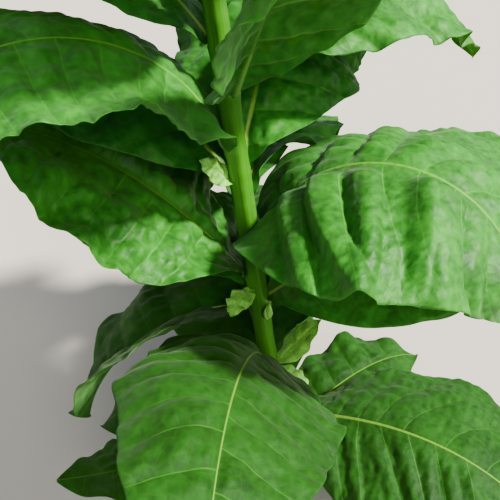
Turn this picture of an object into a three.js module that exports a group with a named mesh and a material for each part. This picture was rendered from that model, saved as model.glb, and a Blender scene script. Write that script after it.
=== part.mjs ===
// Tobacco plant in full leaf, before flowering. Millimetres, +Z up.
// The origin is at the flat cut of the stem, at ground level.
// Each leaf is one closed solid: a curved blade of even thickness that starts 0.3 mm clear of the stem.
// +X is to the right and -Y towards the viewer, as the plant is seen from in front.
import * as THREE from 'three';

// Stem
const STEM_TOP = 1058;            // height of the growing tip
const STEM_LEAN = 6.5;            // degrees, towards -X
const STEM_R_FOOT = 13.6;         // radius above the root flare
const STEM_TAPER = 3.2;           // radius lost over TAPER_SPAN
const TAPER_SPAN = 800;
const STEM_TIP_LOSS = 5.6;        // radius lost over the last part
const STEM_TIP_FROM = 780;        // height where the quick taper starts
const STEM_TIP_BLUNT = 0.45;      // radius of the last ring as a share of the stem's there
const FLARE = 6.5;                // extra radius at the ground
const FLARE_HEIGHT = 26;          // height over which the flare dies away
const STEM_SIDES = 20;
const FOOT_RINGS = [0, 5, 12, 24, 44]; // ring heights round the flare
const STEM_RING_STEP = 32;        // height between the rings above
const TIP_RING = 5;               // height of the last ring under the tip

// Leaf blade
const CLEARANCE = 0.3;            // gap between leaf base and stem
const THICKNESS_RATIO = 0.0105;   // leaf thickness as a share of leaf length
const WIDEST_AT = 0.47;           // share of the length where the blade is widest
const BASE_FULLNESS = 0.92;       // how fast the blade widens from the base
const BASE_HALF = 9;              // half-width of the winged leaf stalk at the stem
const BASE_SHARE = 0.22;          // that half-width is at most this share of the blade's
const STALK_END = 0.2;            // share of the length where the winged stalk ends
const TIP_HALF = 1.5;
const VEIN_SWEEP = 0.22;          // how far a side vein runs forward, as a share of the length
const SWEEP_POWER = 0.7;          // the sweep's growth along the leaf
const SWEEP_CURVE = 1.3;          // the sweep's growth from midrib to margin
const RUFFLES = 3.5;              // waves along each margin
const RUFFLE_SHIFT = 1.4;         // radians by which the two margins' waves differ from the midrib's
const RUFFLE_FROM = 0.15;         // share of the length over which the waves grow in
const SET_FROM = 0.05;            // share of the length over which the halves take their set
const LIFT_FROM = 0.04;           // share of the length over which the base lift grows in
const LIFT_FADE = 1.5;            // power by which it fades out
const ROLL_FROM = 0.25;           // share of the length over which the roll grows in
const LEAST_DROOP = 0.5;          // degrees, so that a flat half still has a curl
const MIDRIB_STEPS = 120;
const ROW_STEP = 33;              // length of one row of facets
const LEAST_ROWS = 5;
const WIDE_BLADE = 60;            // half-width above which a blade has three facets a side

// One row is one leaf: node height, facing (degrees round from +X), length, half-width, rise of the midrib at the
// stem, bend of the midrib from base to tip and its power, sway of the midrib sideways and roll about it. Then, for
// the left and right halves, the set at the midrib, the droop towards the margin and the lift near the base, all in
// degrees. liftTo is the share of the length where that lift ends, which a half may also give as a fourth value, and
// ruffle the height of the margin waves in mm.
const USUAL = {
  power: 1.2, sway: 0, roll: 0, left: [-5, 30, 45], right: [-5, 30, 45], liftTo: 0.14, ruffle: 7,
};
const GROWN = [
  { name: 'leaf_01', node: 96, facing: 34, length: 285, half: 76, rise: 34, bend: 70, power: 1.3,
    sway: -7, roll: 3, left: [8, 36, 40], right: [-5, 30, 40], phase: 0.5 },
  { name: 'leaf_02', node: 124, facing: 213, length: 330, half: 96, rise: 24, bend: 12, power: 1.3,
    sway: -18, roll: 5, left: [12, 24, 40], right: [-11, 36, 40], ruffle: 5, phase: 1.5 },
  { name: 'leaf_03', node: 168, facing: -24, length: 482, half: 151, rise: 30, bend: 90, power: 1.42,
    sway: -22, roll: 10, left: [-17, 16, 43], liftTo: 0.08, ruffle: 5, phase: 2.6 },
  { name: 'leaf_04', node: 180, facing: 104, length: 460, half: 132, rise: 26, bend: 76, sway: 8,
    left: [-4, 30, 45], right: [-6, 34, 45], phase: 0.3 },
  { name: 'leaf_05', node: 215, facing: 184, length: 262, half: 90, rise: 26, bend: 76, power: 1,
    sway: 6, left: [-6, 30, 45], right: [-8, 30, 45], ruffle: 6, phase: 3.9 },
  { name: 'leaf_06', node: 300, facing: 86, length: 460, half: 130, rise: 30, bend: 80, sway: -8,
    left: [-6, 30, 45], right: [-4, 32, 45], phase: 2.2 },
  { name: 'leaf_07', node: 310, facing: -101, length: 500, half: 116, rise: 56, bend: 90, power: 1.8,
    sway: 9, roll: 2, left: [-30, 2, 0], right: [27, 64, 30], liftTo: 0.1, ruffle: 5, phase: 4.4 },
  { name: 'leaf_08', node: 430, facing: 136, length: 440, half: 112, rise: 28, bend: 76, sway: 8,
    right: [-8, 30, 45], phase: 5.2 },
  { name: 'leaf_09', node: 396, facing: 192, length: 308, half: 110, rise: 28, bend: 104, power: 0.66,
    sway: 6, roll: 5, left: [30, -10, 45], right: [12, 38, 45], ruffle: 5, phase: 0.9 },
  { name: 'leaf_10', node: 414, facing: 3, length: 398, half: 125, rise: 43, bend: 66, power: 1.55,
    sway: 1, right: [-3, 25, 45], liftTo: 0.13, ruffle: 5, phase: 1.9 },
  { name: 'leaf_11', node: 453, facing: 169, length: 368, half: 131, rise: 52, bend: 46, power: 1.4,
    sway: 14, roll: -6, left: [9, 12, 49], right: [4, 54, -17], liftTo: 0.27, phase: 2.8 },
  { name: 'leaf_12', node: 477, facing: 34, length: 480, half: 120, rise: 40, bend: 86, power: 1.05,
    sway: -2, roll: -4, left: [-24, 52, 45], right: [8, 20, 45], phase: 3.3 },
  { name: 'leaf_13', node: 504, facing: -15, length: 434, half: 174, rise: 82, bend: 173, power: 1.12,
    sway: -42, left: [-7, 28, 45, 0.33], right: [3, 23, 58], liftTo: 0.19, ruffle: 4, phase: 5.9 },
  { name: 'leaf_14', node: 552, facing: 101, length: 475, half: 102, rise: 20, bend: 109, power: 1.03,
    sway: -6, left: [15, 28, 55], right: [-5, 38, 69], phase: 0.1 },
  { name: 'leaf_15', node: 565, facing: 76, length: 428, half: 79, rise: 29.5, bend: 77, power: 0.48,
    sway: 1, roll: 3, left: [30, 24, 35], right: [13, 25, 63], liftTo: 0.29, ruffle: 10, phase: 1.1 },
  { name: 'leaf_16', node: 588, facing: 146, length: 420, half: 98, rise: 46, bend: 80, power: 1,
    ruffle: 5, phase: 2.4 },
  { name: 'leaf_17', node: 607, facing: 74, length: 434, half: 134, rise: 53, bend: 112, power: 1.3,
    sway: 5, roll: 4, right: [-13, 52, 62], liftTo: 0.24, ruffle: 8, phase: 3.7 },
  { name: 'leaf_18', node: 634, facing: 200, length: 430, half: 128, rise: 80, bend: 130, power: 0.95,
    sway: 56, roll: -7, left: [-21, -48, 50], right: [2, 50, 45], liftTo: 0.2, ruffle: 6, phase: 4.8 },
  { name: 'leaf_19', node: 698, facing: -57, length: 480, half: 138, rise: 65, bend: 38, power: 1.3,
    sway: -11, roll: 9, left: [-21, 2, 10], right: [-26, 8, 0], ruffle: 5, phase: 0.7 },
  { name: 'leaf_20', node: 708, facing: 40, length: 394, half: 95, rise: 38, bend: 98, power: 1,
    sway: -28, left: [7, 70, 40], right: [-4, 24, 40], ruffle: 8, phase: 1.7 },
  { name: 'leaf_21', node: 744, facing: 152, length: 407, half: 104, rise: 52, bend: 112, power: 1.03,
    roll: 2, left: [-6, 8, 45], right: [-25, 36, 45], phase: 2.9 },
  { name: 'leaf_22', node: 772, facing: 92, length: 385, half: 104, rise: 58, bend: 112, sway: 5,
    left: [-6, 30, 45], right: [-6, 30, 45], phase: 4.1 },
];

// Young leaves of the side shoots in the leaf axils
const SIDE_SHOOTS = [
  { name: 'shoot_1', node: 280, facing: 12, length: 90, half: 24, rise: 55, bend: 12, sway: 8,
    left: [5, 20, 20], right: [5, 20, 20], ruffle: 2, phase: 1 },
  { name: 'shoot_2', node: 278, facing: -30, length: 56, half: 14, rise: 10, bend: 50, power: 1,
    sway: -10, left: [5, 30, 20], right: [5, 30, 20], ruffle: 2, phase: 2 },
  { name: 'shoot_3', node: 434, facing: 236, length: 52, half: 15, rise: 30, bend: 60, power: 1,
    sway: 20, left: [5, 30, 20], right: [5, 30, 20], ruffle: 3, phase: 3 },
  { name: 'shoot_4', node: 590, facing: 206, length: 50, half: 13, rise: 58, bend: 20, power: 1,
    sway: -12, roll: -45, left: [5, 30, 20], right: [5, 30, 20], ruffle: 3, phase: 4 },
];

// Leaves at the top of the stem, smaller, closer and steeper from one to the next
const YOUNG = 13;
const YOUNG_FIRST = GROWN.length + 1;
const YOUNG_NODE = 800;           // height of the first one's node
const YOUNG_GAP = 28.6;           // height from it to the next
const YOUNG_GAP_LOSS = 0.7;
const YOUNG_FACING = 252;
const SPIRAL = 137.5;             // degrees round the stem from one leaf to the next
const YOUNG_LENGTH = 390;
const YOUNG_LENGTH_LOSS = [19, 0.43];      // per leaf, and per leaf squared
const YOUNG_SLIMNESS = [0.262, 0.00092];   // half-width as a share of the length, and its loss per leaf squared
const YOUNG_RISE = [66, 0.12];             // midrib's rise, and its gain per leaf squared
const YOUNG_BEND = [70, 0.32];             // midrib's bend, and its loss per leaf squared
const YOUNG_POWER = 1.4;
const YOUNG_SWAY = [6, 0.35];
const YOUNG_FOLD = [[-4, 1.5], [27, -1.4], [20, -0.8]]; // set, droop and lift, and their gain per leaf
const YOUNG_RUFFLE = [6, 0.4];
const YOUNG_PHASE = [5.3, 1.15];

const AXIL_BUD = { name: 'axil_bud', node: 386, facing: -62, length: 34, radius: 6.5, tilt: 10 };
const BUD_SIDES = 12;
const BUD_RINGS = 8;
const BUD_FULLNESS = 0.75;        // under 1 puts the widest ring below the middle
const BUD_SEAT = 0.59;            // foot's distance from the stem as a share of the radius

const LEAF_GREEN = 0x3f8f2f;
const YOUNG_GREEN = 0x8cc63f;
const STEM_GREEN = 0x4e7a2a;

const rad = THREE.MathUtils.degToRad;
const clamp01 = (v) => Math.min(1, Math.max(0, v));
const LEAN = Math.tan(rad(STEM_LEAN));

function youngLeaf(i) {
  const length = YOUNG_LENGTH - YOUNG_LENGTH_LOSS[0] * i - YOUNG_LENGTH_LOSS[1] * i * i;
  const fold = YOUNG_FOLD.map(([first, gain]) => first + gain * i);
  return {
    ...USUAL,
    name: `leaf_${YOUNG_FIRST + i}`,
    node: YOUNG_NODE + YOUNG_GAP * i - YOUNG_GAP_LOSS * i * i,
    facing: YOUNG_FACING + SPIRAL * i,
    length,
    half: length * (YOUNG_SLIMNESS[0] - YOUNG_SLIMNESS[1] * i * i),
    rise: YOUNG_RISE[0] + YOUNG_RISE[1] * i * i,
    bend: YOUNG_BEND[0] - YOUNG_BEND[1] * i * i,
    power: YOUNG_POWER,
    sway: (i % 2 === 0 ? 1 : -1) * (YOUNG_SWAY[0] - YOUNG_SWAY[1] * i),
    left: fold,
    right: fold,
    ruffle: YOUNG_RUFFLE[0] - YOUNG_RUFFLE[1] * i,
    phase: YOUNG_PHASE[0] + YOUNG_PHASE[1] * i,
  };
}

function stemRadius(z) {
  return STEM_R_FOOT - STEM_TAPER * (z / TAPER_SPAN)
    - STEM_TIP_LOSS * clamp01((z - STEM_TIP_FROM) / (STEM_TOP - STEM_TIP_FROM))
    + FLARE * Math.exp(-z / FLARE_HEIGHT);
}

function meshFrom(name, geometry, colour) {
  const mesh = new THREE.Mesh(geometry, new THREE.MeshStandardMaterial({ color: colour, roughness: 0.6 }));
  mesh.name = name;
  return mesh;
}

function geometryFrom(points, faces) {
  const geometry = new THREE.BufferGeometry();
  geometry.setAttribute('position', new THREE.Float32BufferAttribute(points.flat(), 3));
  geometry.setIndex(faces.flat());
  geometry.computeVertexNormals();
  return geometry;
}

// Rings from the flat cut at the ground to the tip, closed at both ends
function stem() {
  const heights = [...FOOT_RINGS];
  const last = () => heights[heights.length - 1];
  while (last() + STEM_RING_STEP < STEM_TOP - 2 * TIP_RING) heights.push(last() + STEM_RING_STEP);
  heights.push(STEM_TOP - TIP_RING, STEM_TOP);
  const points = [];
  heights.forEach((z) => {
    const r = stemRadius(z) * (z === STEM_TOP ? STEM_TIP_BLUNT : 1);
    for (let i = 0; i < STEM_SIDES; i += 1) {
      const a = (2 * Math.PI * i) / STEM_SIDES;
      points.push([-LEAN * z + r * Math.cos(a), r * Math.sin(a), z]);
    }
  });
  const faces = [];
  for (let k = 0; k < heights.length - 1; k += 1) {
    for (let i = 0; i < STEM_SIDES; i += 1) {
      const a = k * STEM_SIDES + i;
      const b = k * STEM_SIDES + ((i + 1) % STEM_SIDES);
      faces.push([a, b, b + STEM_SIDES], [a, b + STEM_SIDES, a + STEM_SIDES]);
    }
  }
  const top = (heights.length - 1) * STEM_SIDES;
  points.push([0, 0, 0], [-LEAN * STEM_TOP, 0, STEM_TOP]);
  for (let i = 0; i < STEM_SIDES; i += 1) {
    const j = (i + 1) % STEM_SIDES;
    faces.push([points.length - 2, j, i], [points.length - 1, top + i, top + j]);
  }
  return meshFrom('stem', geometryFrom(points, faces), STEM_GREEN);
}

// Half-width of the blade at a share s of the length
function halfWidth(leaf, s) {
  const tipPower = (BASE_FULLNESS * (1 - WIDEST_AT)) / WIDEST_AT;
  const body = (clamp01(s) / WIDEST_AT) ** BASE_FULLNESS * (clamp01(1 - s) / (1 - WIDEST_AT)) ** tipPower;
  const stalk = Math.min(BASE_HALF, leaf.half * BASE_SHARE) * (1 - clamp01(s / STALK_END)) ** 2;
  return leaf.half * body + stalk + TIP_HALF * clamp01(s);
}

// Points along the midrib with the directions forward, left and up at each
function midrib(leaf) {
  const thick = leaf.length * THICKNESS_RATIO;
  const face = rad(leaf.facing);
  const out = stemRadius(leaf.node) + CLEARANCE + (thick / 2) * (Math.sin(rad(leaf.rise)) + LEAN);
  const at = new THREE.Vector3(-LEAN * leaf.node + out * Math.cos(face), out * Math.sin(face), leaf.node);
  const half = leaf.length / MIDRIB_STEPS / 2;
  const line = [];
  for (let i = 0; i <= MIDRIB_STEPS; i += 1) {
    const s = i / MIDRIB_STEPS;
    const climb = rad(leaf.rise - leaf.bend * s ** leaf.power);
    const turn = face + rad(leaf.sway) * s * s;
    const level = new THREE.Vector3(Math.cos(turn), Math.sin(turn), 0);
    const forward = level.multiplyScalar(Math.cos(climb)).setZ(Math.sin(climb));
    const flatLeft = new THREE.Vector3(-Math.sin(turn), Math.cos(turn), 0);
    const flatUp = new THREE.Vector3().crossVectors(forward, flatLeft);
    const roll = rad(leaf.roll) * clamp01(s / ROLL_FROM);
    const left = flatLeft.clone().multiplyScalar(Math.cos(roll)).addScaledVector(flatUp, Math.sin(roll));
    const up = flatUp.multiplyScalar(Math.cos(roll)).addScaledVector(flatLeft, -Math.sin(roll));
    if (i > 0) at.addScaledVector(forward, half).addScaledVector(line[i - 1].forward, half);
    line.push({ point: at.clone(), forward, left, up });
  }
  return line;
}

// Point of the blade's middle surface and its normal, at a share s of the length and y mm left of the midrib
function bladePoint(leaf, line, s, y) {
  const f = clamp01(s) * MIDRIB_STEPS;
  const i = Math.min(MIDRIB_STEPS - 1, Math.floor(f));
  const mix = (key) => line[i][key].clone().lerp(line[i + 1][key], f - i);
  const [set, droop, lift, liftTo = leaf.liftTo] = y >= 0 ? leaf.left : leaf.right;
  const side = y >= 0 ? 1 : -1;
  const lifted = rad(lift) * clamp01(s / LIFT_FROM) * (1 - clamp01(s / liftTo)) ** LIFT_FADE;
  const b0 = rad(set) * clamp01(s / SET_FROM) + lifted;
  const curl = (Math.abs(droop) < LEAST_DROOP ? rad(LEAST_DROOP) : rad(droop)) / leaf.half;
  const b1 = b0 - curl * Math.abs(y);
  const across = (Math.sin(b0) - Math.sin(b1)) / curl;
  const high = (Math.cos(b1) - Math.cos(b0)) / curl;
  const left = mix('left').normalize();
  const up = mix('up').normalize();
  const point = mix('point').addScaledVector(left, side * across).addScaledVector(up, high);
  const normal = up.multiplyScalar(Math.cos(b1)).addScaledVector(left, -side * Math.sin(b1));
  return { point, normal };
}

// Closed blade: an upper and a lower skin joined round the margin
function leafSolid(leaf, colour) {
  const rows = Math.max(LEAST_ROWS, Math.round(leaf.length / ROW_STEP));
  const cols = leaf.half > WIDE_BLADE ? 3 : 2;
  const line = midrib(leaf);
  const thick = leaf.length * THICKNESS_RATIO;
  const upper = [];
  const lower = [];
  for (let r = 0; r <= rows; r += 1) {
    const a = r / rows;
    const sweep = VEIN_SWEEP * a ** SWEEP_POWER * (1 - a);
    for (let c = -cols; c <= cols; c += 1) {
      const t = c / cols;
      const s = a + sweep * Math.abs(t) ** SWEEP_CURVE;
      const { point, normal } = bladePoint(leaf, line, s, t * halfWidth(leaf, a + sweep));
      const wave = Math.sin(2 * Math.PI * RUFFLES * a + leaf.phase + RUFFLE_SHIFT * Math.sign(t));
      point.addScaledVector(normal, leaf.ruffle * t * t * wave * clamp01(a / RUFFLE_FROM));
      upper.push(point.clone().addScaledVector(normal, thick / 2).toArray());
      lower.push(point.clone().addScaledVector(normal, -thick / 2).toArray());
    }
  }
  const wide = 2 * cols + 1;
  const faces = [];
  const off = upper.length;
  for (let r = 0; r < rows; r += 1) {
    for (let c = 0; c < wide - 1; c += 1) {
      const p = r * wide + c;
      faces.push([p, p + wide, p + wide + 1], [p, p + wide + 1, p + 1]);
      faces.push([off + p, off + p + wide + 1, off + p + wide], [off + p, off + p + 1, off + p + wide + 1]);
    }
  }
  const rim = [];
  for (let c = 0; c < wide; c += 1) rim.push(c);
  for (let r = 1; r <= rows; r += 1) rim.push(r * wide + wide - 1);
  for (let c = wide - 2; c >= 0; c -= 1) rim.push(rows * wide + c);
  for (let r = rows - 1; r >= 1; r -= 1) rim.push(r * wide);
  rim.forEach((p, i) => {
    const q = rim[(i + 1) % rim.length];
    faces.push([p, q, off + q], [p, off + q, off + p]);
  });
  return meshFrom(leaf.name, geometryFrom(upper.concat(lower), faces), colour);
}

// Closed tear-shaped bud in a leaf axil, its axis tilted out from the stem
function bud({ name, node, facing, length, radius, tilt }) {
  const profile = [];
  for (let i = 0; i <= BUD_RINGS; i += 1) {
    const s = i / BUD_RINGS;
    const r = i % BUD_RINGS === 0 ? 0 : radius * Math.sin(Math.PI * s ** BUD_FULLNESS);
    profile.push(new THREE.Vector2(r, length * s));
  }
  const geometry = new THREE.LatheGeometry(profile, BUD_SIDES);
  geometry.rotateX(Math.PI / 2);
  geometry.rotateY(rad(tilt));
  geometry.rotateZ(rad(facing));
  const out = stemRadius(node) + CLEARANCE + BUD_SEAT * radius;
  geometry.translate(-LEAN * node + out * Math.cos(rad(facing)), out * Math.sin(rad(facing)), node);
  return meshFrom(name, geometry, YOUNG_GREEN);
}

const plant = new THREE.Group();
plant.name = 'tobacco_plant';
plant.add(stem());
GROWN.forEach((leaf) => plant.add(leafSolid({ ...USUAL, ...leaf }, LEAF_GREEN)));
for (let i = 0; i < YOUNG; i += 1) plant.add(leafSolid(youngLeaf(i), LEAF_GREEN));
SIDE_SHOOTS.forEach((leaf) => plant.add(leafSolid({ ...USUAL, ...leaf }, YOUNG_GREEN)));
plant.add(bud(AXIL_BUD));

export default plant;
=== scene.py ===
"""Looks of a tobacco plant in full leaf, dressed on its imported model.

Every leaf of the model is replaced by a fine one that grows by the same rule, with side veins, the quilting
between them, a fleshy midrib and a fluttering margin. The stem is replaced by one with ridges and nodes.
Sizes are millimetres and angles degrees; add_mesh turns points into metres, and materials read metres.
"""
import logging
import math
from dataclasses import dataclass, replace
from enum import Enum
from typing import Any, Iterable, Mapping, Sequence

import bpy
import numpy as np
from bpy.types import Material, NodeSocket, NodeTree, Object
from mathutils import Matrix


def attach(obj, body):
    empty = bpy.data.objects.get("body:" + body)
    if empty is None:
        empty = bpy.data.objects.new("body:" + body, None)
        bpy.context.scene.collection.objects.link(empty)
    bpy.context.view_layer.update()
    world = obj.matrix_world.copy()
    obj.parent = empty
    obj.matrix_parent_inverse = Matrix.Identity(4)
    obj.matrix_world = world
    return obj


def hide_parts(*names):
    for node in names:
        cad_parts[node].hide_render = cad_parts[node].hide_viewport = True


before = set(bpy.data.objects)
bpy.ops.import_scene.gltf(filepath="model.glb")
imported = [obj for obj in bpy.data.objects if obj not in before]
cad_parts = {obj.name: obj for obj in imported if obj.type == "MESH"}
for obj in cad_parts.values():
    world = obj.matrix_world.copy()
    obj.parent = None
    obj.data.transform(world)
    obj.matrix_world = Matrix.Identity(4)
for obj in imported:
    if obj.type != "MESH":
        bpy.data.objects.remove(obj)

LOG = logging.getLogger("tobacco_plant")
MM = 0.001  # metres in a millimetre
Array = np.ndarray

# Camera of the photograph: its place, its downward pitch and its focal length in pixels of a 500 pixel frame
IMAGE_PX = 500
FOCAL_PX = 650
SENSOR_MM = 36
CAMERA_AT = (-57.5, -566, 1000)
CAMERA_PITCH = 42

# Stem, as in the model
STEM_TOP = 1058
STEM_LEAN = math.tan(math.radians(6.5))
STEM_R_FOOT = 13.6
STEM_TAPER = 3.2
TAPER_SPAN = 800
STEM_TIP_LOSS = 5.6
STEM_TIP_FROM = 780
FLARE = 6.5
FLARE_HEIGHT = 26

# Leaf blade, as in the model
CLEARANCE = 0.3
THICKNESS_RATIO = 0.0105
WIDEST_AT = 0.47
BASE_FULLNESS = 0.92
BASE_HALF = 9
BASE_SHARE = 0.22
STALK_END = 0.2
TIP_HALF = 1.5
VEIN_SWEEP = 0.22
SWEEP_POWER = 0.7
SWEEP_CURVE = 1.3
RUFFLES = 3.5
RUFFLE_SHIFT = 1.4
RUFFLE_FROM = 0.15
SET_FROM = 0.05
LIFT_FROM = 0.04
LIFT_FADE = 1.5
ROLL_FROM = 0.25
LEAST_DROOP = 0.5
MIDRIB_STEPS = 120

# Fine relief of the blade
VEIN_SPACING = 37  # along the midrib, from one side vein to the next
VEIN_SLANT = 0.87  # distance across two side veins against the distance along the midrib
VEIN_BELOW = 1.1  # height of a side vein's ridge on the under side
RIB_COLUMNS = (0, 0.4, 0.75, 1.0, 1.4)  # columns over the midrib, in its own half-widths
RIB_HALF = 4.2  # half-width of the midrib at the stem on a long leaf
RIB_TIP = 0.14  # share of it left at the leaf's tip
RIB_TAPER = 0.5  # power of its taper: below 1 most of it is near the stem
RIB_ABOVE = 0.28  # height of the midrib above the blade, in its half-widths
PALE_RIB = 90  # length over which the midrib turns from its pale foot to green
RIB_FULL_LENGTH = 400  # leaf length from which the midrib has that width
BLADE_THICKNESS = 0.7
SINK = 3.0  # how far the midrib's foot goes into the stem
PUFF_SPACING = 27  # from one small cross vein to the next
ARCH_POWER = 0.75  # below 1 the quilting is steep beside the veins and flat between them
CREST_TILT = 0.35  # share of a fold's height that its crest loses towards the drop
FOLDED_QUILT = 0.35  # share of the quilting that is left in a half that hangs in folds
FOLD_FULL = 0.22  # share of the half-width from which a fold has its height
PUCKER_SIZE = 18  # from crest to crest of the cockles
SWELL_SIZE = 75  # from crest to crest of the broad swell
FLUTTER_SIZE = 58  # from crest to crest of the margin's small waves
EDGE_SIZE = 60  # from crest to crest of the margin's uneven width
EDGE_SHARE = 0.014  # that unevenness as a share of the half-width

# Options of nodes that are used more than once
RGBA = {"out": 2, "data_type": "RGBA"}
SOFT = {"interpolation_type": "SMOOTHSTEP"}
WAX_IOR = 1.45


class Slot(Enum):
    """Material slots of the record."""

    STEM = "stem"
    LEAF = "leaf"
    YOUNG = "young_leaf"


class Fineness(Enum):
    """Rows between two side veins and columns from midrib to margin."""

    CLOSE = (16, 40)
    MIDDLE = (10, 24)
    FAR = (8, 15)
    SMALL = (6, 10)


def clamp01(value: Array) -> Array:
    """Value kept between 0 and 1."""
    return np.clip(value, 0.0, 1.0)


def smooth(low: float, high: float, value: Array) -> Array:
    """Smooth step: 0 below low, 1 above high and the cubic 3x^2 - 2x^3 between them."""
    x = clamp01((value - low) / (high - low))
    return x * x * (3.0 - 2.0 * x)


def linear(hex_colour: str) -> tuple[float, float, float, float]:
    """Turns an sRGB hex colour into the linear one that shaders take.

    Args:
        hex_colour: Six hex digits after a #.

    Returns:
        Red, green and blue, and an alpha of 1.
    """
    shares = [int(hex_colour[i:i + 2], 16) / 255.0 for i in (1, 3, 5)]
    red, green, blue = (c / 12.92 if c <= 0.04045 else ((c + 0.055) / 1.055) ** 2.4 for c in shares)
    return (red, green, blue, 1.0)


def ripples(u: Array, v: Array, size: float, seed: int, count: int = 9) -> Array:
    """Uneven surface of about -1 to 1: the sum of sine waves of random direction and phase.

    Each wave is sin(2 pi (u cos d + v sin d) / w + p), with its length w from 0.7 to 1.5 times size.

    Args:
        u, v: Coordinates of the points.
        size: Typical distance from crest to crest.
        seed: Seed of the random directions.
        count: Number of waves.

    Returns:
        The height at each point.
    """
    rng = np.random.default_rng(seed)
    total = np.zeros(np.broadcast(u, v).shape)
    for direction, share, shift in rng.random((count, 3)):
        angle = math.pi * direction
        turn = 2 * math.pi / (size * (0.7 + 0.8 * share))
        total += np.sin(turn * (u * math.cos(angle) + v * math.sin(angle)) + 2 * math.pi * shift)
    return total / math.sqrt(count * 1.1)


def stem_radius(z: Array) -> Array:
    """Radius of the stem at height z: a slow taper, a quick one near the tip, the flare at the ground."""
    tip = STEM_TIP_LOSS * clamp01((z - STEM_TIP_FROM) / (STEM_TOP - STEM_TIP_FROM))
    return STEM_R_FOOT - STEM_TAPER * z / TAPER_SPAN - tip + FLARE * np.exp(-z / FLARE_HEIGHT)


def grid_faces(rows: int, columns: int, first: int = 0, wrap: bool = False, flip: bool = False) -> Array:
    """Quads of a grid of points that are stored row by row.

    Args:
        rows, columns: How many points there are each way.
        first: Number of the grid's first point.
        wrap: Whether the last column joins the first.
        flip: Whether the faces point the other way.

    Returns:
        An array of four point numbers a face.
    """
    r, c = np.meshgrid(np.arange(rows - 1), np.arange(columns if wrap else columns - 1), indexing="ij")
    here = first + r * columns + c
    beside = first + r * columns + (c + 1) % columns
    quads = np.stack([here, beside, beside + columns, here + columns], axis=-1).reshape(-1, 4)
    return quads[:, ::-1] if flip else quads


def add_mesh(
    name: str, points: Array, faces: Array, materials: Iterable[Material], uv: Array | None = None,
    values: Mapping[str, Array] | None = None, face_material: Array | None = None,
) -> Object:
    """Makes a smooth mesh object from arrays.

    Args:
        name: Name of the object.
        points: Points in millimetres, one a row.
        faces: Four point numbers a face; a triangle repeats its last one.
        materials: Materials of the mesh.
        uv: Surface coordinates of each point, in metres.
        values: Named values of each point, for the materials.
        face_material: Number of each face's material.

    Returns:
        The object, linked to the scene.
    """
    mesh = bpy.data.meshes.new(name)
    sizes = np.where(faces[:, 2] == faces[:, 3], 3, 4)
    keep = np.ones(faces.size, bool)
    keep[3::4] = sizes == 4
    loops = faces.reshape(-1)[keep]
    mesh.vertices.add(len(points))
    mesh.vertices.foreach_set("co", (points * MM).astype(np.float32).ravel())
    mesh.loops.add(len(loops))
    mesh.loops.foreach_set("vertex_index", loops.astype(np.int32))
    mesh.polygons.add(len(faces))
    mesh.polygons.foreach_set("loop_start", np.concatenate([[0], np.cumsum(sizes)[:-1]]).astype(np.int32))
    mesh.update(calc_edges=True)
    mesh.polygons.foreach_set("use_smooth", np.ones(len(faces), bool))
    for material in materials:
        mesh.materials.append(material)
    if face_material is not None:
        mesh.polygons.foreach_set("material_index", face_material.astype(np.int32))
    if uv is not None:
        layer = mesh.uv_layers.new(name="blade")
        layer.data.foreach_set("uv", uv[loops].astype(np.float32).ravel())
    for label, value in (values or {}).items():
        made = mesh.attributes.new(label, "FLOAT", "POINT")
        made.data.foreach_set("value", value.astype(np.float32))
    mesh.update()
    obj = bpy.data.objects.new(name, mesh)
    bpy.context.scene.collection.objects.link(obj)
    return obj


def add_tube(
    name: str, points: Array, poles: Sequence, materials: Iterable[Material], uv: Array,
    values: Mapping[str, Array] | None = None,
) -> Object:
    """Makes a closed tube of rings with a fan of triangles to the pole at each end.

    Args:
        name: Name of the object.
        points: Points of the rings, from the foot up, each from +X round.
        poles: Points at the foot and at the tip.
        materials: Materials of the mesh.
        uv: Distance along and round at each point of the rings.
        values: Named values of each point, those of the poles last.

    Returns:
        The object.
    """
    rings, sides = points.shape[:2]
    ring = np.arange(sides)
    after = np.roll(ring, -1)
    foot = np.full_like(ring, rings * sides)
    last = (rings - 1) * sides
    low = np.stack([after, ring, foot, foot], axis=-1)
    high = np.stack([ring + last, after + last, foot + 1, foot + 1], axis=-1)
    faces = np.concatenate([grid_faces(rings, sides, wrap=True), low, high])
    points = np.concatenate([points.reshape(-1, 3), np.array(poles)])
    uv = np.concatenate([uv.reshape(-1, 2) * MM, np.zeros((2, 2))])
    return add_mesh(name, points, faces, materials, uv, values)


def blank(name: str) -> tuple[Material, NodeTree]:
    """Makes a material without nodes.

    Args:
        name: Name of the material.

    Returns:
        The material and its node tree.
    """
    material = bpy.data.materials.new(name)
    material.use_nodes = True
    material.node_tree.nodes.clear()
    return material, material.node_tree


def node(
    tree: NodeTree, kind: str, inputs: Mapping | Sequence, out: int | str = 0, **settings: Any
) -> NodeSocket | None:
    """Adds a shader node with its settings, values and links.

    Args:
        tree: Node tree to add to.
        kind: Type name of the node, after ShaderNode.
        inputs: By an input's name or number, or in their order: a value, a hex colour, or the output socket
            that it is linked to.
        out: Name or number of the output that is wanted.
        **settings: Properties of the node.

    Returns:
        That output, or None where the node has none.
    """
    made = tree.nodes.new("ShaderNode" + kind)
    for key, value in settings.items():
        setattr(made, key, value)
    for key, value in inputs.items() if isinstance(inputs, Mapping) else enumerate(inputs):
        if isinstance(value, NodeSocket):
            tree.links.new(value, made.inputs[key])
        else:
            made.inputs[key].default_value = linear(value) if isinstance(value, str) else value
    return made.outputs[out] if made.outputs else None


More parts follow.
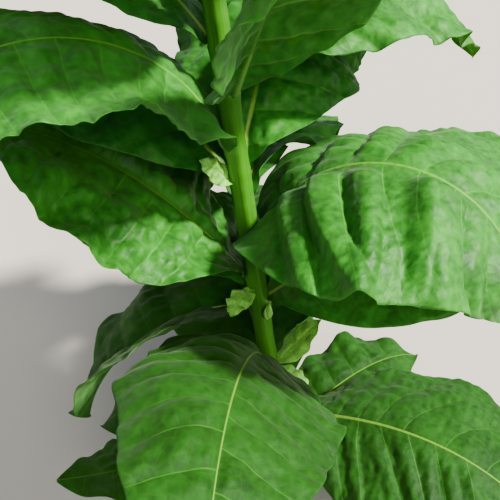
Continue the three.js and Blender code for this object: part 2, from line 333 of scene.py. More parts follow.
@dataclass(frozen=True)
class LeafFinish:
    """Living leaf skin: soft, faintly waxy, with pale veins and a net of small ones.

    Attributes:
        name: Name of the material.
        deep, bright: Colours of the blade's darker and lighter parts.
        vein, rib, foot: Colours of the side veins, the midrib and the midrib's foot.
        through, glow: Colour and share of the light that comes through the blade.
        net: Share by which the net of small veins shows.
        roughness, gloss: Roughness and specular level of the wax.
        down: Weight of the pale sheen that its fine sticky hairs give.
        cells: Distance between the small veins; real ones lie half as far apart and would hardly show.
        cell_height: Height of the blade between them.
        vein_share: How wide the side veins' colour shows, against their own width.
    """

    name: str
    deep: str
    bright: str
    vein: str
    rib: str
    foot: str
    through: str
    glow: float = 0.24
    net: float = 0.08
    roughness: float = 0.55
    gloss: float = 0.34
    down: float = 0.08
    cells: float = 11.0
    cell_height: float = 0.7
    vein_share: float = 0.8

    def build(self) -> Material:
        """Lays blade, net, vein and rib colours by distance, over three sizes of bump.

        Returns:
            The material.
        """
        material, tree = blank(self.name)
        along = node(tree, "UVMap", (), uv_map="blade")
        place = node(tree, "TexCoord", (), "Object")
        names = ("order", "gap", "rib")
        order, gap, rib = (node(tree, "Attribute", (), "Fac", attribute_name=name) for name in names)
        nearest = node(tree, "Math", (order, 0.5), operation="PINGPONG")
        vein = node(tree, "Math", (nearest, gap), operation="MULTIPLY")
        wobble = node(tree, "TexNoise", {"Vector": along, "Scale": 1 / (16 * MM), "Detail": 2.0}, "Color")
        bent = node(tree, "VectorMath", (wobble, (6 * MM, 6 * MM, 6 * MM), along), operation="MULTIPLY_ADD")
        scale = 1 / (self.cells * MM)
        cells = node(tree, "TexVoronoi", {"Vector": bent, "Scale": scale, "Randomness": 0.9}, "Distance",
                     feature="DISTANCE_TO_EDGE", voronoi_dimensions="2D")
        small = node(tree, "TexVoronoi", {"Vector": bent, "Scale": 3 * scale}, "Distance",
                     feature="SMOOTH_F1", voronoi_dimensions="2D")
        mottle = node(tree, "TexNoise", {"Vector": place, "Scale": 1 / (60 * MM), "Detail": 4.0})
        crinkle = node(tree, "TexNoise", {"Vector": along, "Scale": scale / 0.8, "Detail": 3.0})
        both = node(tree, "Math", (mottle, crinkle), operation="ADD")
        patch = node(tree, "MapRange", (both, 0.75, 1.25, 0.0, 1.0))
        colour = node(tree, "Mix", {0: patch, 6: self.deep, 7: self.bright}, **RGBA)
        run = node(tree, "SeparateXYZ", (along,), "X")
        greening = node(tree, "MapRange", (run, 0.0, PALE_RIB * MM, 0.0, 1.0))
        ribbed = node(tree, "Mix", {0: greening, 6: self.foot, 7: self.rib}, **RGBA)
        width = self.vein_share
        layers = (
            ((cells, 0.0, 0.12, self.net, 0.0), self.vein),
            ((vein, 0.3 * width, 1.2 * width, 0.6, 0.0), self.vein),
            ((rib, 0.5, 1.1, 0.9, 0.0), ribbed),
        )
        for fade, over in layers:
            colour = node(tree, "Mix", {0: node(tree, "MapRange", fade, **SOFT), 6: colour, 7: over}, **RGBA)
        waxy = node(tree, "MapRange", (mottle, 0.3, 0.7, self.roughness - 0.05, self.roughness + 0.07))
        puffed = node(tree, "MapRange", (cells, 0.0, 0.5, 0.0, 1.0), interpolation_type="SMOOTHERSTEP")
        normal: dict[str, Any] = {}
        for strength, share, height in ((0.5, 1.0, puffed), (0.6, 0.9, crinkle), (0.5, 0.2, small)):
            depth = share * self.cell_height * MM
            inputs = {"Strength": strength, "Distance": depth, "Height": height, **normal}
            normal = {"Normal": node(tree, "Bump", inputs)}
        skin = node(tree, "BsdfPrincipled", {
            "Base Color": colour, "Roughness": waxy, "IOR": WAX_IOR, "Specular IOR Level": self.gloss,
            "Sheen Weight": self.down, "Sheen Roughness": 0.5, "Sheen Tint": "#e4f2dc", **normal,
        })
        through = node(tree, "BsdfTranslucent", {"Color": self.through, **normal})
        node(tree, "OutputMaterial", (node(tree, "MixShader", (self.glow, skin, through)),))
        return material


@dataclass(frozen=True)
class StemFinish:
    """Fresh green stem skin: fibrous, with fine lengthwise streaks and a faint gloss.

    Attributes:
        name: Name of the material.
        deep, bright: Colours of the dark and the light fibres.
        foot: Colour near the ground, where the skin turns woody.
        streak: Width of a fibre streak; real fibres are a quarter of it and would not show.
    """

    name: str
    deep: str
    bright: str
    foot: str
    streak: float = 2.2

    def build(self) -> Material:
        """Lays streaks along the stem in colour and bump, browner below.

        Returns:
            The material.
        """
        material, tree = blank(self.name)
        along = node(tree, "UVMap", (), uv_map="blade")
        place = node(tree, "TexCoord", (), "Object")
        drawn = node(tree, "Mapping", {"Vector": along, "Scale": (0.03, 1.0, 1.0)})
        streaks = node(tree, "TexNoise", {"Vector": drawn, "Scale": 1 / (self.streak * MM), "Detail": 3.0})
        mottle = node(tree, "TexNoise", {"Vector": place, "Scale": 1 / (30 * MM), "Detail": 3.0})
        green = node(tree, "Mix", {0: streaks, 6: self.deep, 7: self.bright}, **RGBA)
        height = node(tree, "SeparateXYZ", (place,), "Z")
        woody = node(tree, "MapRange", (height, 0.0, 160 * MM, 0.85, 0.0), **SOFT)
        shader = node(tree, "BsdfPrincipled", {
            "Base Color": node(tree, "Mix", {0: woody, 6: green, 7: self.foot}, **RGBA),
            "Roughness": node(tree, "MapRange", (mottle, 0.3, 0.7, 0.36, 0.5)), "IOR": WAX_IOR,
            "Normal": node(tree, "Bump", {"Strength": 0.5, "Distance": 0.4 * MM, "Height": streaks}),
            "Subsurface Weight": 0.12, "Subsurface Radius": (0.6, 1.0, 0.25), "Subsurface Scale": 2 * MM,
        })
        node(tree, "OutputMaterial", (shader,))
        return material


# Grown with a thin wax and sticky hairs: a broad soft sheen on mid green, thin pale veins, a cream foot
UPPER = LeafFinish(
    "living leaf, upper skin", "#22541a", "#3e7f2e", "#528a3a", "#5d8f30", "#a9c462", "#9fd43c",
)
# Hardly any wax, and raised veins: duller and paler than the upper skin, its veins wider to the eye
UNDER = LeafFinish(
    "living leaf, under skin", "#285a1e", "#3e7831", "#5c8f45", "#659447", "#7aa555", "#9fd43c",
    roughness=0.66, gloss=0.22, cell_height=0.5, vein_share=1.3,
)
# Leaves low on the stem: a deeper green that is painted shade, standing for the shade of the leaves above; a
# matt wax that hardly shines, and the palest midrib foot, its own pale base brightened by a painted patch of
# sunlight
LOW_SHADED_UPPER = replace(
    UPPER, name="low leaf, painted shade, upper skin", deep="#14350e", bright="#235119", vein="#42722a", rib="#638832",
    foot="#e2e494", roughness=0.66, gloss=0.22, cell_height=0.45,
)
# The same leaf from below: matt, a shade lighter than above, and darker than the under skin of higher
# leaves, as painted shade
LOW_SHADED_UNDER = replace(UNDER, name="low leaf, painted shade, under skin", deep="#234d1a", bright="#356a28")
# Just unfolded, thin and still short of green: light yellow-green, partly their own young colour and partly
# painted sunlight, with a close net of pale veins
YOUNG_UPPER = LeafFinish(
    "young leaf, upper skin", "#5f9c3c", "#93c766", "#aed37c", "#b4d278", "#c6da88", "#b4e05a",
    net=0.2, glow=0.22, cells=4.0, cell_height=0.4,
)
# The same leaf from below: a little paler, and duller
YOUNG_UNDER = replace(
    YOUNG_UPPER, name="young leaf, under skin", deep="#6ca548", bright="#97c46c", vein="#b3d486",
    rib="#b9d484", roughness=0.62,
)
# Grown in long fibres under a thin wax: fine lengthwise streaks with a narrow shine, and a corky brown foot
STEM_SKIN = StemFinish("fresh stem skin, ribbed", "#285a14", "#528a2e", "#76703f")


@dataclass(frozen=True)
class Line:
    """Course of a side vein or of a fold's crest, from the midrib to the margin.

    Attributes:
        foot: Where it leaves the midrib, as a share of the length.
        margin: Where it meets the margin.
        curve: How it bends: above 1 it turns towards the tip near the margin.
    """

    foot: float
    margin: float
    curve: float = 2.0

    def at(self, t: Array) -> Array:
        """Share of the length at the share t of the way to the margin: foot + (margin - foot) t^curve."""
        return self.foot + (self.margin - self.foot) * t ** self.curve


@dataclass(frozen=True)
class Ridge(Line):
    """Curtain-like fold of a hanging half: a flank, a broad crest, and a steep drop on the tip's side.

    Attributes:
        height: Height of the crest.
        flank, crest, drop: Width of each, from the base's side on, as a share of the length.
        reach: How far from the midrib towards the margin it runs, from 0 to 1.
    """

    height: float = 6.0
    flank: float = 0.035
    crest: float = 0.03
    drop: float = 0.01
    reach: float = 1.4

    def over(self, a: Array, t: Array) -> Array:
        """Height of the fold: a smooth step up the flank, a crest that turns down by a square, and the drop.

        It grows from the midrib and dies down before its reach.

        Args:
            a: Share of the length.
            t: Share of the way from the midrib to the margin.

        Returns:
            The height at each point.
        """
        x = a - self.at(t)
        up = smooth(-self.flank - self.crest, -self.crest, x)
        over = clamp01(1 + x / self.crest)
        ends = smooth(0.03, FOLD_FULL, t) * (1 - smooth(self.reach - 0.4, self.reach, t))
        return self.height * up * (1 - CREST_TILT * over ** 2) * smooth(self.drop, 0.0, x) * ends


@dataclass(frozen=True)
class Relief:
    """Fine relief of a blade on top of its curve.

    Attributes:
        quilt: Height to which the blade stands up between its side veins.
        puff: Share by which that height rises and falls from one small cross vein to the next.
        pucker: Height of the cockles between the small veins.
        swell: Height of the blade's broad unevenness.
        flutter: Height of the small waves of the margin.
        evenness: How far from the midrib towards the margin the quilting keeps its height, from 0 to 1.
    """

    quilt: float = 4.2
    puff: float = 0.3
    pucker: float = 0.8
    swell: float = 2.4
    flutter: float = 3.0
    evenness: float = 0.7


@dataclass(frozen=True)
class Leaf:
    """One leaf, by the same sizes as its solid in the model.

    Attributes:
        name: Name of the model's node.
        node: Height where it leaves the stem.
        facing: Direction that it points in, round from +X.
        length, half: Length of the midrib, and greatest half-width.
        rise, bend: Angle of the midrib above level at the stem, and how far it bends down from there.
        phase, ruffle: Phase and height of the margin's long waves.
        left, right: Of each half the set at the midrib, the droop towards the margin, the lift near the
            base, and where that lift ends if not at lift_to.
        power: Where the bend falls: above 1 it is nearer the tip.
        sway, roll: Sideways bend of the midrib, and turn about it.
        lift_to: Share of the length where the lift ends.
        relief: Fine relief.
        veins_left, veins_right: Own side veins of each half, from the base on.
        ridges_right: Folds of the right half.
        stout: Width of the midrib against the usual one.
        fineness: Density of the mesh.
    """

    name: str
    node: float
    facing: float
    length: float
    half: float
    rise: float
    bend: float
    phase: float
    left: tuple[float, ...] = (-5, 30, 45)
    right: tuple[float, ...] = (-5, 30, 45)
    power: float = 1.2
    sway: float = 0
    roll: float = 0
    lift_to: float = 0.14
    ruffle: float = 7
    relief: Relief = Relief()
    veins_left: tuple[Line, ...] = ()
    veins_right: tuple[Line, ...] = ()
    ridges_right: tuple[Ridge, ...] = ()
    stout: float = 1.0
    fineness: Fineness = Fineness.MIDDLE

    @property
    def seed(self) -> int:
        """Seed of this leaf's own unevenness, from its height on the stem."""
        return int(round(self.node * 10))

    @property
    def veins(self) -> int:
        """Number of side veins in each half."""
        return max(5, round(self.length / VEIN_SPACING))

    def half_width(self, s: Array) -> Array:
        """Half-width of a beta-shaped blade with a winged stalk and a blunt tip.

        Args:
            s: Share of the length.

        Returns:
            The half-width there.
        """
        tip_power = BASE_FULLNESS * (1 - WIDEST_AT) / WIDEST_AT
        body = (clamp01(s) / WIDEST_AT) ** BASE_FULLNESS * (clamp01(1 - s) / (1 - WIDEST_AT)) ** tip_power
        stalk = min(BASE_HALF, self.half * BASE_SHARE) * (1 - clamp01(s / STALK_END)) ** 2
        return self.half * body + stalk + TIP_HALF * clamp01(s)

    def midrib(self) -> tuple[Array, ...]:
        """Points along the midrib with the directions left and up at each.

        The climb at a share s is rise - bend s^power and the heading facing + sway s^2; the points are their
        running sum, by the trapezium rule, from the stem's surface.

        Returns:
            The shares, the points there, and the directions.
        """
        s = np.linspace(0.0, 1.0, MIDRIB_STEPS + 1)
        thick = self.length * THICKNESS_RATIO
        face = math.radians(self.facing)
        out = stem_radius(np.float64(self.node)) + CLEARANCE
        out += thick / 2 * (math.sin(math.radians(self.rise)) + STEM_LEAN)
        climb = np.radians(self.rise - self.bend * s ** self.power)
        turn = face + math.radians(self.sway) * s * s
        forward = np.stack([np.cos(climb) * np.cos(turn), np.cos(climb) * np.sin(turn), np.sin(climb)], -1)
        flat_left = np.stack([-np.sin(turn), np.cos(turn), np.zeros_like(turn)], -1)
        flat_up = np.cross(forward, flat_left)
        roll = (math.radians(self.roll) * clamp01(s / ROLL_FROM))[:, None]
        steps = (forward[1:] + forward[:-1]) * self.length / MIDRIB_STEPS / 2
        start = np.array([-STEM_LEAN * self.node + out * math.cos(face), out * math.sin(face), self.node])
        left = flat_left * np.cos(roll) + flat_up * np.sin(roll)
        up = flat_up * np.cos(roll) - flat_left * np.sin(roll)
        return s, start + np.concatenate([np.zeros((1, 3)), np.cumsum(steps, axis=0)]), left, up

    def blade(self, s: Array, y: Array) -> tuple[Array, Array]:
        """Middle surface of the smooth blade.

        Across the leaf each half is an arc: it leaves the midrib at the angle b0 = set + lift and turns by
        curl = droop / half for each mm, to b1, so that it reaches (sin b0 - sin b1) / curl sideways and
        (cos b1 - cos b0) / curl upwards.

        Args:
            s: Share of the length at each point.
            y: Distance from the midrib at each point, left positive.

        Returns:
            The points and the normals there.
        """
        at, *line = self.midrib()
        middle, left, up = (np.stack([np.interp(s, at, part[:, k]) for k in range(3)], -1) for part in line)
        left /= np.linalg.norm(left, axis=-1, keepdims=True)
        up /= np.linalg.norm(up, axis=-1, keepdims=True)
        on_left = y >= 0
        side = np.where(on_left, 1.0, -1.0)
        halves = ((*half, self.lift_to)[:4] for half in (self.left, self.right))
        setting, droop, lift, lift_to = (np.where(on_left, a, b) for a, b in zip(*halves))
        b0 = np.radians(setting) * clamp01(s / SET_FROM)
        b0 += np.radians(lift) * clamp01(s / LIFT_FROM) * (1 - clamp01(s / lift_to)) ** LIFT_FADE
        curl = np.radians(np.where(np.abs(droop) < LEAST_DROOP, LEAST_DROOP, droop)) / self.half
        b1 = b0 - curl * np.abs(y)
        across = side * (np.sin(b0) - np.sin(b1)) / curl
        high = (np.cos(b1) - np.cos(b0)) / curl
        points = middle + left * across[..., None] + up * high[..., None]
        normals = up * np.cos(b1)[..., None] - left * (side * np.sin(b1))[..., None]
        return points, normals


class LeafMesh:
    """Fine mesh of one leaf: an upper and an under skin, joined round the margin."""

    def __init__(self, leaf: Leaf) -> None:
        """Lays the grid out: rows follow the side veins, columns run from margin to margin.

        Args:
            leaf: The leaf to build.
        """
        self.leaf = leaf
        per_vein, outer = leaf.fineness.value
        a = np.linspace(0.0, 1.0, leaf.veins * per_vein + 1)[:, None]
        sweep = VEIN_SWEEP * a ** SWEEP_POWER * (1 - a)
        width = leaf.half_width(a + sweep)
        edge = EDGE_SHARE * ripples(a * leaf.length, np.zeros_like(a), EDGE_SIZE, leaf.seed + 1)
        width = width * (1 + edge * smooth(0.05, 0.3, a) * smooth(1.0, 0.9, a))
        self.slim = min(1.0, leaf.length / RIB_FULL_LENGTH)
        rib = RIB_HALF * leaf.stout * self.slim * (1 - (1 - RIB_TIP) * a ** RIB_TAPER)
        over = np.concatenate([RIB_COLUMNS, np.full(outer, RIB_COLUMNS[-1])])
        beyond = np.concatenate([np.zeros(len(RIB_COLUMNS)), np.linspace(0, 1, outer + 1)[1:] ** 0.9])
        half = rib * over + (width - rib * RIB_COLUMNS[-1]) * beyond
        self.y = np.concatenate([-half[:, :0:-1], half], axis=1)
        self.wide = smooth(8.0, min(60.0, 0.8 * leaf.half), np.broadcast_to(width, self.y.shape))
        self.t = np.clip(self.y / width, -1.0, 1.0)
        self.a = np.broadcast_to(a, self.y.shape)
        self.s = self.a + sweep * np.abs(self.t) ** SWEEP_CURVE
        self.rib = np.abs(self.y) / rib
        self.rib_half = np.broadcast_to(rib, self.y.shape)
        self.bulge, self.vein, self.order, self.gap = self.quilting()

    def side_veins(self, left: bool) -> list[Line]:
        """Side veins of one half: its own, or evenly spread ones, each a little out of place.

        Args:
            left: Whether the left half is meant.

        Returns:
            The veins, from the base to the tip.
        """
        leaf = self.leaf
        own = leaf.veins_left if left else leaf.veins_right
        if own:
            return list(own)
        rng = np.random.default_rng(leaf.seed + (0 if left else 500))
        step = 1 / leaf.veins
        places = np.arange(step * (1.0 if left else 0.5), 1 - 0.3 * step, step)
        shifts = step * (rng.random((len(places), 2)) - 0.5)
        return [Line(p + 0.16 * u, p + 0.16 * u + 0.3 * w) for p, (u, w) in zip(places, shifts)]

    def quilting(self) -> tuple[Array, Array, Array, Array]:
        """Height of the quilting and the folds, and the place among the side veins.

        At the share f of the way from one vein to the next it is quilt sin(pi f)^0.75 high, so the veins lie
        in creases. It grows from the midrib, sinks towards the margin, and puffs up between the small cross
        veins by a cosine of the distance from the midrib.

        Returns:
            The height, the distance to the nearest side vein in its half-widths, the number of veins passed
            plus the share of the way to the next, and the gap between two in half-widths.
        """
        leaf, t = self.leaf, np.abs(self.t)
        bulge, order = np.zeros_like(self.y), np.zeros_like(self.y)
        vein, gap = np.full_like(self.y, 99.0), np.full_like(self.y, 99.0)
        thick = (1.0 - 0.7 * t) * self.slim
        rng = np.random.default_rng(leaf.seed + 7)
        for left in (True, False):
            here = (self.y >= 0) if left else (self.y < 0)
            before = np.zeros_like(self.y)
            for passed, line in enumerate(self.side_veins(left) + [Line(1.0, 1.0)]):
                after = line.at(t)
                apart = np.maximum(after - before, 1e-4)
                part = (self.a - before) / apart
                inside = here & (part >= 0) & (part <= 1)
                order = np.where(inside, passed + part, order)
                gap = np.where(inside, apart * leaf.length * VEIN_SLANT / thick, gap)
                share, shift, spread = rng.random(3)
                height = leaf.relief.quilt * (0.7 + 0.6 * share)
                if leaf.ridges_right and not left:
                    height *= FOLDED_QUILT
                puffs = np.cos(2 * np.pi * (np.abs(self.y) / (PUFF_SPACING * (0.8 + 0.4 * spread)) + shift))
                arch = np.sin(np.pi * np.where(inside, part, 0.0)) ** ARCH_POWER
                bulge += height * arch * (1 + leaf.relief.puff * puffs)
                if line.foot < 1:
                    away = np.abs(self.a - after) * leaf.length * VEIN_SLANT
                    vein = np.where(here, np.minimum(vein, away / thick), vein)
                before = after
        bulge *= 1 - (1 - leaf.relief.evenness) * smooth(0.35, 1.0, t)
        for ridge in leaf.ridges_right:
            bulge += ridge.over(self.a, t) * (self.y < 0)
        ends = smooth(0.02, 0.12, self.a) * smooth(1.0, 0.86, self.a)
        return bulge * smooth(0.01, 0.14, t) * ends * self.wide, vein, np.maximum(order, 0.5), gap

    def offsets(self) -> Array:
        """Adds up the long margin waves, the quilting and folds, the cockles, the swell and the small waves.

        Returns:
            The height above the smooth blade.
        """
        leaf, relief = self.leaf, self.leaf.relief
        t = np.abs(self.t)
        wave = np.sin(2 * np.pi * RUFFLES * self.a + leaf.phase + RUFFLE_SHIFT * np.sign(self.t))
        total = leaf.ruffle * t * t * wave * clamp01(self.a / RUFFLE_FROM) + self.bulge
        run = self.s * leaf.length
        calm = smooth(0.0, 0.15, t) * self.wide
        total += relief.pucker * ripples(run, self.y, PUCKER_SIZE, leaf.seed + 2, 14) * calm
        total += relief.swell * ripples(run, self.y, SWELL_SIZE, leaf.seed + 3, 6) * calm
        flutter = ripples(run, 3 * leaf.half * np.sign(self.y), FLUTTER_SIZE, leaf.seed + 4, 5)
        total += relief.flutter * flutter * t ** 3 * smooth(0.05, 0.25, self.a) * smooth(1.0, 0.9, self.a)
        return total

    def skins(self) -> tuple[Array, Array]:
        """Points of the upper and the under skin.

        The midrib is a low half-ellipse above and a half-circle below; each side vein is a ridge below.

        Returns:
            The two grids of points.
        """
        leaf = self.leaf
        points, normals = leaf.blade(self.s, self.y)
        points = points + normals * self.offsets()[..., None]
        face = math.radians(leaf.facing)
        inward = np.array([-math.cos(face), -math.sin(face), 0.0])
        sunk = SINK * (1 - clamp01(self.s * leaf.length / 12)) ** 2
        points = points + inward * sunk[..., None]
        true = np.cross(np.gradient(points, axis=0), np.gradient(points, axis=1))
        true /= np.maximum(np.linalg.norm(true, axis=-1, keepdims=True), 1e-9)
        round_rib = self.rib_half * np.sqrt(1 - clamp01(self.rib) ** 2)
        thin = BLADE_THICKNESS * (0.45 + 0.55 * self.slim) / 2
        ridge = np.exp(-self.vein ** 2 * 0.4) * (1 - np.abs(self.t)) ** 0.7
        ridge *= VEIN_BELOW * self.slim * smooth(0.9, 1.6, self.rib) * smooth(0.02, 0.1, self.a)
        above = thin + RIB_ABOVE * round_rib
        below = thin + round_rib + ridge
        return points + true * above[..., None], points - true * below[..., None]

    def build(self, materials: list[Material]) -> Object:
        """Joins both skins and the rim into one closed mesh.

        Args:
            materials: Upper and under skin.

        Returns:
            The object.
        """
        upper, under = self.skins()
        rows, columns = upper.shape[:2]
        count = rows * columns
        number = np.arange(count).reshape(rows, columns)
        rim = np.concatenate([number[0, :-1], number[:-1, -1], number[-1, :0:-1], number[:0:-1, 0]])
        after = np.roll(rim, -1)
        wall = np.stack([rim, after, after + count, rim + count], axis=-1)
        top = grid_faces(rows, columns, flip=True)
        bottom = grid_faces(rows, columns, first=count)
        skin = np.concatenate([np.zeros(len(top)), np.ones(len(bottom)), np.zeros(len(wall))])
        uv = np.stack([self.s * self.leaf.length, self.y], axis=-1).reshape(-1, 2) * MM
        values = {"order": self.order, "gap": self.gap, "rib": self.rib}
        return add_mesh(
            self.leaf.name + "_fine", np.concatenate([upper, under]).reshape(-1, 3),
            np.concatenate([top, bottom, wall]), materials, np.tile(uv, (2, 1)),
            {label: np.tile(value.ravel(), 2) for label, value in values.items()}, skin,
        )


@dataclass(frozen=True)
class Stem:
    """The stem, with soft ribs that run down from the leaves, a swelling at each node, and the root flare.

    Attributes:
        rings, sides: Number of point rings, and of points round a ring.
        ribs: Number of soft ribs round the stem.
        rib_height: Height of the ribs as a share of the radius.
        swelling: Height of a node's swelling as a share of the radius.
        swelling_height: Length of that swelling.
    """

    rings: int = 420
    sides: int = 96
    ribs: int = 5
    rib_height: float = 0.035
    swelling: float = 0.16
    swelling_height: float = 9

    def surface(self, leaves: Iterable[Leaf]) -> tuple[Array, Array]:
        """Points of the stem and their surface coordinates.

        At height z and angle q the radius is the model's, times one plus the ribs, cos(5 q + slow twist),
        the fine ripple, and for each node a bell in z that is highest on the side of its leaf.

        Args:
            leaves: Leaves whose nodes swell the stem.

        Returns:
            The points, ring by ring, and the coordinates along and round.
        """
        z = np.linspace(0.0, STEM_TOP, self.rings)[:, None]
        q = np.linspace(0.0, 2 * np.pi, self.sides, endpoint=False)[None, :]
        radius = stem_radius(z)
        shape = 1 + self.rib_height * np.cos(self.ribs * q + 0.0006 * z) * smooth(6, 60, z)
        shape = shape + 0.02 * ripples(z * 0.25, radius * np.sin(q) * 3, 22, 11)
        shape = shape + 0.10 * np.exp(-z / 16) * np.cos(4 * q + 0.6)
        for leaf in leaves:
            bell = np.exp(-((z - leaf.node + 3) / self.swelling_height) ** 2)
            tail = 0.35 * np.exp(-np.maximum(leaf.node - z, 0) / 45) * (z < leaf.node)
            size = min(1.0, leaf.length / RIB_FULL_LENGTH)
            ahead = np.exp(3.0 * (np.cos(q - math.radians(leaf.facing)) - 1))
            shape = shape + self.swelling * size * (bell * (0.25 + 0.75 * ahead) + tail * ahead)
        radius = radius * shape
        points = np.stack([radius * np.cos(q) - STEM_LEAN * z, radius * np.sin(q), z + 0 * q], axis=-1)
        return points, np.stack([z + 0 * q, q * STEM_R_FOOT + 0 * z], axis=-1)

    def build(self, leaves: Iterable[Leaf], material: Material) -> Object:
        """Makes the stem's closed mesh, flat at the ground and with a bud-like tip.

        Args:
            leaves: Leaves whose nodes swell the stem.
            material: The stem's skin.

        Returns:
            The object.
        """
        points, uv = self.surface(leaves)
        poles = [[0.0, 0.0, 0.0], [-STEM_LEAN * STEM_TOP, 0.0, STEM_TOP + 1.5]]
        return add_tube("stem_fine", points, poles, [material], uv)


@dataclass(frozen=True)
class Bud:
    """A closed tear-shaped bud of lapped young leaves.

    Attributes:
        name: Name of the model's node, or of the piece where the model has none.
        node, out: Height of its foot, and its distance from the stem's axis.
        facing: Side of the stem that it sits on.
        length, radius: Its length and greatest radius.
        tilt: Lean of its axis away from upright.
        laps: Number of leaves that lap round it.
        rings, sides: Number of point rings, and of points round a ring.
    """

    name: str
    node: float
    facing: float
    length: float
    radius: float
    tilt: float
    out: float = 0.0
    laps: int = 3
    rings: int = 48
    sides: int = 60

    def placed(self, x: Array, side: Array, z: Array) -> Array:
        """Leans points of the upright bud outwards, moves them out and turns them to its side of the stem.

        Args:
            x, side, z: Outwards, sideways and upwards from its foot.

        Returns:
            The points.
        """
        lean, face = math.radians(self.tilt), math.radians(self.facing)
        out = x * math.cos(lean) + z * math.sin(lean) + self.out
        return np.stack([
            out * math.cos(face) - side * math.sin(face) - STEM_LEAN * self.node,
            out * math.sin(face) + side * math.cos(face),
            z * math.cos(lean) - x * math.sin(lean) + self.node,
        ], axis=-1)

    def build(self, materials: list[Material]) -> Object:
        """Makes the bud: r = radius sin(pi s^0.75), with a step at each lapped edge that winds up it.

        Args:
            materials: Skins of the young leaf.

        Returns:
            The object.
        """
        s = np.linspace(0.0, 1.0, self.rings + 2)[1:-1, None]
        q = np.linspace(0.0, 2 * np.pi, self.sides, endpoint=False)[None, :]
        wound = (self.laps * (q / (2 * np.pi) + 0.35 * s)) % 1.0
        radius = self.radius * np.sin(np.pi * s ** 0.75) * (0.86 + 0.14 * wound ** 0.7)
        points = self.placed(radius * np.cos(q), radius * np.sin(q), self.length * s + 0 * q)
        poles = [self.placed(0.0, 0.0, 0.0), self.placed(0.0, 0.0, self.length)]
        uv = np.stack([self.length * s + 0 * q, self.radius * q + 0 * s], axis=-1)
        rib = np.append(0.5 + 6.0 * np.minimum(wound, 1 - wound), [2.0, 2.0])
        values = {"order": np.full(rib.shape, 0.5), "gap": np.full(rib.shape, 20.0), "rib": rib}
        return add_tube(self.name + "_fine", points, poles, materials, uv, values)


# Side veins and folds of the two leaves that show theirs best. Each row is a Line, or a Ridge: foot, margin,
# curve, height, flank, crest, drop and reach.
BIG_LEAF_VEINS_FAR = tuple(Line(*row) for row in (
    (0.14, 0.02), (0.25, 0.12), (0.365, 0.22), (0.45, 0.34), (0.54, 0.66, 1.4), (0.64, 0.86, 1.2),
    (0.75, 0.92), (0.87, 0.97),
))
BIG_LEAF_VEINS = tuple(Line(*row) for row in (
    (0.15, 0.20), (0.262, 0.33), (0.362, 0.47), (0.455, 0.67), (0.535, 0.75, 3.0), (0.62, 0.82),
    (0.71, 0.93, 1.6), (0.83, 0.98, 1.6),
))
BIG_LEAF_RIDGES = tuple(Ridge(*row) for row in (
    (0.17, 0.20, 1.5, 5, 0.06, 0.03, 0.02),
    (0.255, 0.33, 1.5, 10, 0.05, 0.045, 0.012),
    (0.36, 0.53, 3.0, 14, 0.045, 0.055, 0.014),
    (0.405, 0.46, 2.0, 3, 0.025, 0.02, 0.008, 0.7),
    (0.445, 0.51, 1.2, 11, 0.05, 0.03, 0.012, 1.05),
    (0.56, 0.66, 1.8, 4, 0.035, 0.02, 0.01),
    (0.635, 0.79, 2.2, 17, 0.075, 0.07, 0.014),
    (0.72, 0.87, 2.0, 6, 0.05, 0.03, 0.02),
    (0.82, 0.95, 2.0, 6, 0.05, 0.03, 0.02),
))
LOW_LEAF_VEINS_FAR = tuple(Line(*row) for row in (
    (0.12, 0.10), (0.18, 0.17), (0.245, 0.23), (0.30, 0.38), (0.38, 0.56), (0.50, 0.70), (0.62, 0.80),
    (0.74, 0.90), (0.86, 0.97),
))
LOW_LEAF_VEINS_NEAR = tuple(Line(*row) for row in (
    (0.12, 0.14), (0.185, 0.21), (0.252, 0.30), (0.315, 0.48, 1.1), (0.395, 0.57, 1.1), (0.47, 0.63, 1.0),
    (0.56, 0.72, 1.0), (0.66, 0.80, 1.0), (0.77, 0.88), (0.88, 0.96),
))
LOW_LEAF_RIDGES = tuple(Ridge(*row) for row in (
    (0.18, 0.20, 1.3, 3, 0.04, 0.02, 0.01),
    (0.248, 0.29, 1.3, 4, 0.035, 0.02, 0.01),
    (0.30, 0.47, 1.1, 4, 0.035, 0.02, 0.014),
    (0.385, 0.56, 1.1, 6, 0.035, 0.025, 0.014),
    (0.462, 0.57, 1.0, 5, 0.035, 0.02, 0.012),
    (0.505, 0.68, 1.0, 5, 0.03, 0.02, 0.014),
    (0.59, 0.74, 1.0, 4, 0.04, 0.025, 0.014),
    (0.69, 0.82, 1.0, 4, 0.04, 0.025, 0.014),
    (0.80, 0.90, 1.0, 3, 0.04, 0.02, 0.014),
))

CLOSE, FAR, SMALL = Fineness.CLOSE, Fineness.FAR, Fineness.SMALL
